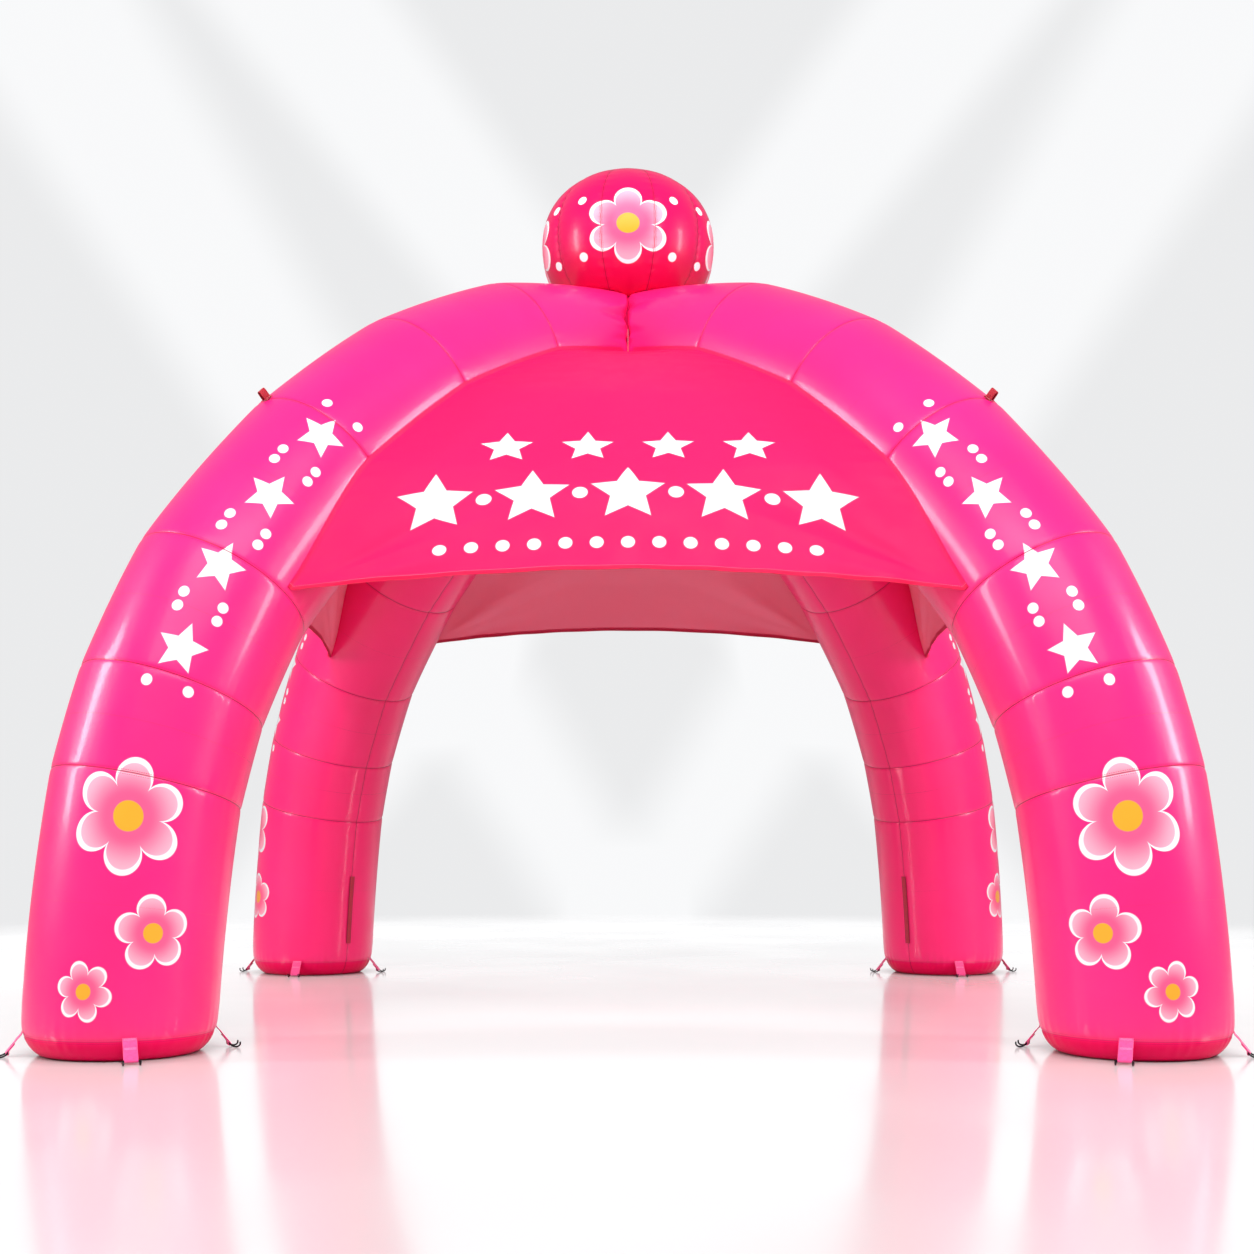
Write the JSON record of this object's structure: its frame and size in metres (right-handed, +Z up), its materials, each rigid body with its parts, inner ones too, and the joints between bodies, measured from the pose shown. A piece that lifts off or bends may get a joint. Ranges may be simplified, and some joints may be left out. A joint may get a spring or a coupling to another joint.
{
  "type": "inflatable arch tent",
  "caption": "Spider-style inflatable arch tent: tube legs meeting at a mitred crown under a gored ball, thin roof panels between the legs, webbing ground straps with wire hooks.",
  "frame": {"origin": "middle of the tent's square on the ground, under the crown", "axes": "+Z up; the front is at -Y and the legs stand on the diagonals of X and Y"},
  "size_m": [5.1744, 5.1507, 4.455],
  "materials": {
    "tube_cloth": "semi-gloss coated polyester, hot pink, taut, with sewn ring seams",
    "roof_cloth": "satin thin polyester, hot pink, lets some light through",
    "ball_cloth": "semi-gloss coated polyester, deep pink, sewn in gores",
    "webbing": "matte woven webbing, pink",
    "tab_webbing": "matte woven webbing, dark red",
    "flap_cloth": "satin woven tape, dark red",
    "hook_steel": "black coated steel wire, semi-gloss"
  },
  "bodies": {
    "root": {"guy_tab_front_left": "tab_webbing", "guy_tab_front_right": "tab_webbing", "guy_tab_rear_left": "tab_webbing", "guy_tab_rear_right": "tab_webbing", "hook_front_left_1": "hook_steel", "hook_front_left_2": "hook_steel", "hook_front_left_3": "hook_steel", "hook_front_left_4": "hook_steel", "hook_front_right_1": "hook_steel", "hook_front_right_2": "hook_steel", "hook_front_right_3": "hook_steel", "hook_front_right_4": "hook_steel", "hook_rear_left_1": "hook_steel", "hook_rear_left_2": "hook_steel", "hook_rear_left_3": "hook_steel", "hook_rear_left_4": "hook_steel", "hook_rear_right_1": "hook_steel", "hook_rear_right_2": "hook_steel", "hook_rear_right_3": "hook_steel", "hook_rear_right_4": "hook_steel", "leg_front_left": "tube_cloth", "leg_front_right": "tube_cloth", "leg_rear_left": "tube_cloth", "leg_rear_right": "tube_cloth", "roof_front": "roof_cloth", "roof_left": "roof_cloth", "roof_rear": "roof_cloth", "roof_right": "roof_cloth", "strap_front_left_1": "webbing", "strap_front_left_2": "webbing", "strap_front_left_3": "webbing", "strap_front_left_4": "webbing", "strap_front_right_1": "webbing", "strap_front_right_2": "webbing", "strap_front_right_3": "webbing", "strap_front_right_4": "webbing", "strap_rear_left_1": "webbing", "strap_rear_left_2": "webbing", "strap_rear_left_3": "webbing", "strap_rear_left_4": "webbing", "strap_rear_right_1": "webbing", "strap_rear_right_2": "webbing", "strap_rear_right_3": "webbing", "strap_rear_right_4": "webbing", "top_ball": "ball_cloth", "zip_flap_front_left": "flap_cloth", "zip_flap_front_right": "flap_cloth", "zip_flap_rear_left": "flap_cloth", "zip_flap_rear_right": "flap_cloth"}
  },
  "joints": []
}
